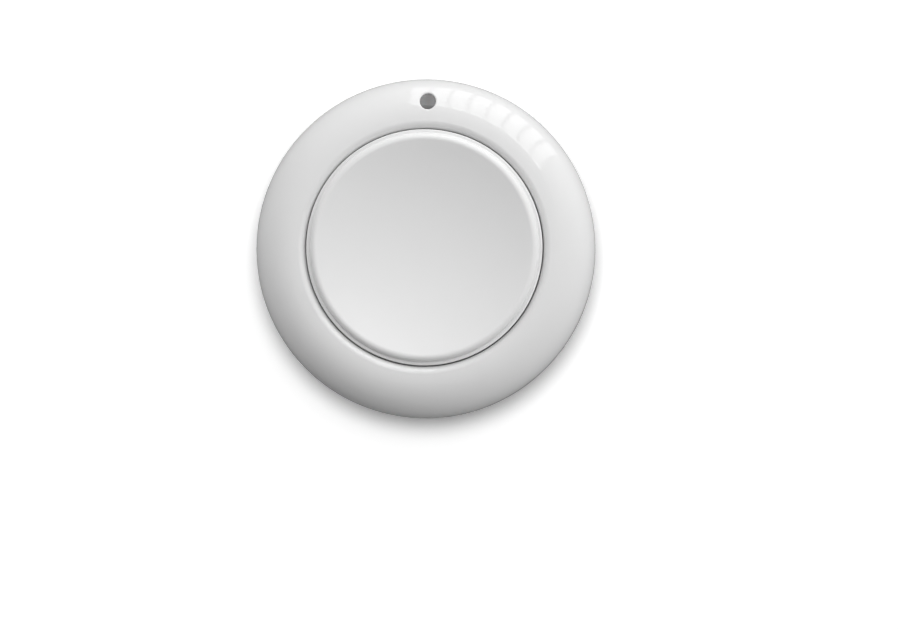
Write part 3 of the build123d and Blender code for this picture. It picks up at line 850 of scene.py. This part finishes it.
@dataclass
class SolderJoints:
    """The small hollow ramps of solder from the leads and the chips' metal ends to the board.

    Attributes:
        run: How far a ramp reaches over the board.
        foot: How thick it is at its end.
        points: How many points its slope has.
        rounding_segments: How many facets round its edges.
        rows: The rows of joints.
    """

    run: float = 0.32 * MM
    foot: float = 0.015 * MM
    points: int = 7
    rounding_segments: int = 2
    rows: tuple[SolderRow, ...] = (
        SolderRow("switch_terminals", 0, (-1, 1), 2, 0.7 * MM, 0.18 * MM),
        SolderRow("encoder_leads", 1, (-1, 1), 4, 0.42 * MM, 0.13 * MM),
        SolderRow("transistor_leads", 1, (-1,), 2, 0.4 * MM, 0.13 * MM),
        SolderRow("transistor_leads", 1, (1,), 1, 0.4 * MM, 0.13 * MM),
        SolderRow("resistor_bodies", 0, (-1, 1), 3, 1.25 * MM, 0.34 * MM, cap=0.35 * MM),
        SolderRow("capacitor_bodies", 0, (-1, 1), 3, 1.25 * MM, 0.5 * MM, cap=0.35 * MM),
        SolderRow("inductor_body", 0, (-1, 1), 1, 2.0 * MM, 0.6 * MM, cap=0.45 * MM),
        SolderRow("led_base", 0, (-1, 1), 1, 0.6 * MM, 0.24 * MM),
    )

    def ramp(self, name: str, width: float, height: float) -> bpy.types.Object:
        """Models one ramp, whose tall side stands at the origin and which runs down towards +X.

        Args:
            name: The ramp's name.
            width: How wide it is, along Y.
            height: How tall it is.

        Returns:
            The ramp.
        """
        outline = [(0.0, 0.0), (self.run, 0.0)]
        for index in range(self.points):
            share = index / (self.points - 1)
            outline.append((self.run * (1 - share), self.foot + (height - self.foot) * share**2))
        piece = drawn(name, outline)
        bpy.ops.object.mode_set(mode="EDIT")
        bpy.ops.mesh.select_all(action="SELECT")
        bpy.ops.transform.translate(value=(0, -width / 2, 0))
        bpy.ops.mesh.edge_face_add()
        bpy.ops.mesh.extrude_region_move(TRANSFORM_OT_translate={"value": (0, width, 0)})
        bpy.ops.mesh.select_all(action="SELECT")
        bpy.ops.mesh.normals_make_consistent(inside=False)
        bpy.ops.object.mode_set(mode="OBJECT")
        rounding = piece.modifiers.new("rounding", "BEVEL")
        rounding.width = self.foot / 2
        rounding.segments = self.rounding_segments
        bpy.ops.object.modifier_apply(modifier=rounding.name)
        bpy.ops.object.mode_set(mode="EDIT")
        bpy.ops.mesh.select_all(action="SELECT")
        bpy.ops.mesh.remove_doubles(threshold=SLIVER)
        bpy.ops.mesh.dissolve_degenerate(threshold=SLIVER)
        bpy.ops.object.mode_set(mode="OBJECT")
        bpy.ops.object.shade_smooth_by_angle(angle=SMOOTH_BELOW)
        return piece

    def row(self, number: int, row: SolderRow, board_top: float) -> None:
        """Makes a row of joints as one piece.

        Args:
            number: The row's number, for its name.
            row: The row.
            board_top: The height of the board's upper face.
        """
        low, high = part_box(row.node)
        across = 1 - row.axis
        first, last = low[across] + row.width / 2, high[across] - row.width / 2
        if row.count == 1:
            first = last = (low[across] + high[across]) / 2
        name = f"solder_{number}_{row.node}"
        model = self.ramp(name, row.width, row.height)
        copies = []
        for side in row.sides:
            end = (low if side < 0 else high)[row.axis] + side * row.cap
            for index in range(row.count):
                choose(model)
                bpy.ops.object.duplicate()
                copy = bpy.context.object
                share = index / max(row.count - 1, 1)
                place = [0.0, 0.0, board_top]
                place[row.axis] = end
                place[across] = first + share * (last - first)
                copy.location = place
                copy.rotation_euler = (0, 0, math.atan2(side * row.axis, side * across))
                copies.append(copy)
        bpy.data.objects.remove(model)
        choose(copies[0])
        for copy in copies:
            copy.select_set(True)
        bpy.ops.object.transform_apply(location=True, rotation=True, scale=True)
        if len(copies) > 1:
            bpy.ops.object.join()
        joints = bpy.context.object
        joints.name = name
        settle(joints, SOLDER)

    def build(self) -> None:
        """Makes every row of joints."""
        board_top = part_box("circuit_board")[1][2]
        for number, row in enumerate(self.rows):
            self.row(number, row, board_top)


@dataclass
class Floor:
    """A floor that keeps the switch's shadow.

    Attributes:
        width: Its width.
        drop: How far it lies below the switch.
        albedo: Its level for the light that it throws back on the switch.
        shown: Its level for the camera, to which it is white.
        mirrored: Its level for what shines or lets light through.
    """

    width: float = 4.0
    drop: float = 0.02 * MM
    albedo: float = 0.2
    shown: float = 1.2
    mirrored: float = 0.25

    def build(self) -> None:
        """Lays the floor."""
        deselect()
        bpy.ops.mesh.primitive_plane_add(size=self.width, location=(0, 0, -self.drop))
        floor = bpy.context.object
        floor.name = "floor"
        material = bpy.data.materials.new("floor_white")
        nodes = Nodes(material, "OutputMaterial")
        rays = nodes.node("LightPath").outputs
        mirror = nodes.reckon("MAXIMUM", rays["Is Glossy Ray"], rays["Is Transmission Ray"])
        level = nodes.spread(mirror, self.albedo, self.mirrored, 0, 1)
        extra = nodes.spread(rays["Is Camera Ray"], 0, self.shown - self.albedo, 0, 1)
        cover = nodes.node("BsdfDiffuse")
        nodes.put(nodes.reckon("ADD", level, extra), cover.inputs["Color"])
        nodes.surface(cover)
        floor.data.materials.append(material)


@dataclass
class Sky:
    """The soft surroundings.

    Attributes:
        strength: Their level for the light that they give.
        mirrored_far: Their level in reflections, on the side away from the window.
        mirrored_near: Their level in reflections, on the window's side.
        near_side: The direction of that side.
        shown: Their level for the camera, to which they are white.
    """

    strength: float = 0.28
    mirrored_far: float = 0.1
    mirrored_near: float = 0.7
    near_side: Point = (0.707, 0.707, 0.0)
    shown: float = 1.0

    def build(self) -> None:
        """Sets the world."""
        world = bpy.data.worlds.new("surroundings")
        bpy.context.scene.world = world
        nodes = Nodes(world, "OutputWorld")
        rays = nodes.node("LightPath").outputs
        side = nodes.node("VectorMath", operation="DOT_PRODUCT")
        nodes.put(nodes.node("TexCoord").outputs["Generated"], side.inputs[0])
        nodes.put(self.near_side, side.inputs[1])
        mirrored = nodes.spread(side.outputs["Value"], self.mirrored_far, self.mirrored_near, -1, 1)
        indirect = nodes.spread(rays["Is Glossy Ray"], self.strength, mirrored, 0, 1)
        glow = nodes.node("Background")
        nodes.put((1, 1, 1, 1), glow.inputs["Color"])
        seen = nodes.spread(rays["Is Camera Ray"], indirect, self.shown, 0, 1)
        nodes.put(seen, glow.inputs["Strength"])
        nodes.surface(glow)


class Reach(Enum):
    """What a lamp lights."""

    ALL = "all"
    SWITCH = "switch"
    FLOOR = "floor"


@dataclass
class SoftLamp:
    """A round softbox aimed at the switch.

    Attributes:
        name: Its name.
        azimuth: Where it hangs, in degrees from +X towards +Y.
        zenith: Where it hangs, in degrees from straight above.
        width: Its width, in metres.
        level: The level that it gives a white surface which faces it.
        reach: What it lights.
        distance: How far from the switch it hangs, in metres.
    """

    name: str
    azimuth: float
    zenith: float
    width: float
    level: float
    reach: Reach = Reach.SWITCH
    distance: float = 0.6

    def build(self) -> None:
        """Hangs the lamp."""
        deselect()
        tilt, turn = math.radians(self.zenith), math.radians(self.azimuth)
        way = Vector((math.sin(tilt) * math.cos(turn), math.sin(tilt) * math.sin(turn), math.cos(tilt)))
        bpy.ops.object.light_add(type="AREA", location=way * self.distance)
        lamp = bpy.context.object
        lamp.name = self.name
        lamp.rotation_euler = way.to_track_quat("Z", "Y").to_euler()
        lamp.data.shape = "DISK"
        lamp.data.size = self.width
        lamp.data.energy = math.pi**2 * (self.distance**2 + self.width**2 / 4) * self.level
        lamp.visible_glossy = False
        if self.reach is not Reach.ALL:
            lit = bpy.data.collections.new(self.name + "_reach")
            lit.objects.link(bpy.data.objects["floor"])
            if self.reach is Reach.SWITCH:
                lit.collection_objects[0].light_linking.link_state = "EXCLUDE"
            lamp.light_linking.receiver_collection = lit


SOFTBOXES = (
    SoftLamp("overhead_softbox", azimuth=64, zenith=14, width=0.62, level=0.27, reach=Reach.ALL),
    SoftLamp("left_softbox", azimuth=133, zenith=70, width=0.3, level=0.36),
    SoftLamp("back_softbox", azimuth=88, zenith=71, width=0.3, level=0.145),
    SoftLamp("corner_softbox", azimuth=45, zenith=63, width=0.3, level=0.32),
    SoftLamp("right_softbox", azimuth=2, zenith=65, width=0.3, level=0.292),
    SoftLamp("floor_lamp", azimuth=66, zenith=4, width=0.19, level=0.42, reach=Reach.FLOOR),
)


@dataclass
class StudioWindow:
    """A wide window of narrow panes that the glossy bezel mirrors. It leans, so its bars do too.

    Attributes:
        first_azimuth: Where it starts, in degrees from +X towards +Y.
        last_azimuth: Where it ends.
        near_zenith: The middle of its near edge, in degrees from straight above.
        near_slope: How much farther down that edge is for each degree of azimuth.
        far_zenith: Its far edge.
        lean: How much it turns for each degree of zenith.
        panes: How many panes it has.
        bar: The width of the bars between them, in degrees.
        edge: The width of the brighter strip along the near edge, in degrees.
        radius: How far from the switch the panes are, in metres.
        frame_radius: How far from the switch the frame is.
        rows: How many rows of faces a sheet has.
        strength: The light of the panes.
        edge_strength: The light of the brighter strip.
        frame_strength: The light of the frame and the bars.
    """

    first_azimuth: float = 39.4
    last_azimuth: float = 98.7
    near_zenith: float = 31.0
    near_slope: float = 0.196
    far_zenith: float = 88.0
    lean: float = -0.06
    panes: int = 8
    bar: float = 1.4
    edge: float = 3.0
    radius: float = 0.5
    frame_radius: float = 0.51
    rows: int = 24
    strength: float = 2.7
    edge_strength: float = 4.0
    frame_strength: float = 0.3

    def spot(self, azimuth: float, along: float, radius: float) -> Point:
        """A point of the window.

        Args:
            azimuth: Its direction at the far end, in degrees.
            along: How far it is from the near edge, in degrees of zenith.
            radius: Its distance from the switch.

        Returns:
            The point, in metres.
        """
        middle = (self.first_azimuth + self.last_azimuth) / 2
        near = self.near_zenith + self.near_slope * (azimuth - middle)
        zenith = min(near + along, self.far_zenith)
        turn = math.radians(azimuth + self.lean * (zenith - self.far_zenith))
        tilt = math.radians(zenith)
        flat = radius * math.sin(tilt)
        return flat * math.cos(turn), flat * math.sin(turn), radius * math.cos(tilt)

    @staticmethod
    def light(name: str, strength: float) -> bpy.types.Material:
        """Makes the light of some sheets.

        Args:
            name: The material's name.
            strength: How bright it is.

        Returns:
            The material.
        """
        material = bpy.data.materials.new(name)
        nodes = Nodes(material, "OutputMaterial")
        lit = nodes.node("Emission")
        nodes.put(strength, lit.inputs["Strength"])
        nodes.surface(lit)
        return material

    def sheet(
        self, name: str, across: Span, along: Span, radius: float, light: bpy.types.Material
    ) -> None:
        """Makes one lit sheet, which only reflections show.

        Args:
            name: The sheet's name.
            across: Its first and last azimuth, in degrees.
            along: Where it starts and ends, in degrees of zenith from the near edge.
            radius: Its distance from the switch.
            light: Its material.
        """
        deselect()
        columns = math.ceil(across[1] - across[0])
        bpy.ops.mesh.primitive_grid_add(x_subdivisions=columns, y_subdivisions=self.rows, size=2)
        sheet = bpy.context.object
        sheet.name = name
        # The grid runs from -1 to 1 along X and Y, which become the azimuth and the zenith.
        for vertex in sheet.data.vertices:
            azimuth = across[0] + (across[1] - across[0]) * (vertex.co.x + 1) / 2
            zenith = along[0] + (along[1] - along[0]) * (vertex.co.y + 1) / 2
            vertex.co = self.spot(azimuth, zenith, radius)
        sheet.data.materials.append(light)
        sheet.visible_camera = False
        sheet.visible_diffuse = False
        sheet.visible_shadow = False
        sheet.visible_transmission = False

    def build(self) -> None:
        """Puts the frame and its panes, each with a brighter strip along its near edge, in an arc."""
        frame_light = self.light("window_frame_light", self.frame_strength)
        edge_light = self.light("window_edge_light", self.edge_strength)
        pane_light = self.light("window_pane_light", self.strength)
        whole, below, above = (0, self.far_zenith), (0, self.edge), (self.edge, self.far_zenith)
        width = (self.first_azimuth, self.last_azimuth)
        self.sheet("window_frame", width, whole, self.frame_radius, frame_light)
        pitch = (self.last_azimuth - self.first_azimuth) / self.panes
        for index in range(self.panes):
            start = self.first_azimuth + index * pitch
            across = (start + self.bar / 2, start + pitch - self.bar / 2)
            self.sheet(f"window_edge_{index}", across, below, self.radius, edge_light)
            self.sheet(f"window_pane_{index}", across, above, self.radius, pane_light)


@dataclass
class Camera:
    """The camera of the photograph: nearly overhead, a little below and to the right of the switch.

    Attributes:
        place: Where it stands.
        aim: The point in the middle of its picture.
        roll: How far it is turned about its own axis, in degrees.
        lens: Its focal length, in millimetres.
        sensor: The width of its sensor, in millimetres.
        nearest: Where its view starts, in metres.
        farthest: Where its view ends, in metres.
    """

    place: Point = (63.8 * MM, -59.4 * MM, 1200 * MM)
    aim: Point = (3.26 * MM, -8.645 * MM, 9.1 * MM)
    roll: float = 1.33
    lens: float = 360.7
    sensor: float = 36
    nearest: float = 0.005
    farthest: float = 20

    def build(self) -> None:
        """Sets the camera up."""
        data = bpy.data.cameras.new("camera")
        data.lens = self.lens
        data.sensor_width = self.sensor
        data.clip_start = self.nearest
        data.clip_end = self.farthest
        camera = bpy.data.objects.new("camera", data)
        bpy.context.scene.collection.objects.link(camera)
        look = (Vector(self.aim) - Vector(self.place)).normalized()
        upright = Vector((0, 1, 0))
        upright = (upright - look * upright.dot(look)).normalized()
        turn = math.radians(self.roll)
        up = upright * math.cos(turn) - look.cross(upright) * math.sin(turn)
        bearing = Matrix((look.cross(up), up, -look)).transposed().to_4x4()
        camera.matrix_world = Matrix.Translation(self.place) @ bearing
        bpy.context.scene.camera = camera


ASSEMBLIES = (
    FrontCase,
    IndicatorWindow,
    Button,
    BackCase,
    FoamRing,
    Door,
    CoinCell,
    Electronics,
    SnapDome,
    SolderJoints,
)


def main() -> None:
    """Builds the switch and its studio."""
    logging.basicConfig(level=logging.INFO, format="%(message)s")
    bpy.context.scene.view_settings.view_transform = "Standard"
    for assembly in ASSEMBLIES:
        assembly().build()
        log.info("%s finished", assembly.__name__)
    for prop in (Floor(), Sky(), *SOFTBOXES, StudioWindow(), Camera()):
        prop.build()
        log.info("%s placed", type(prop).__name__)


if __name__ == "__main__":
    main()
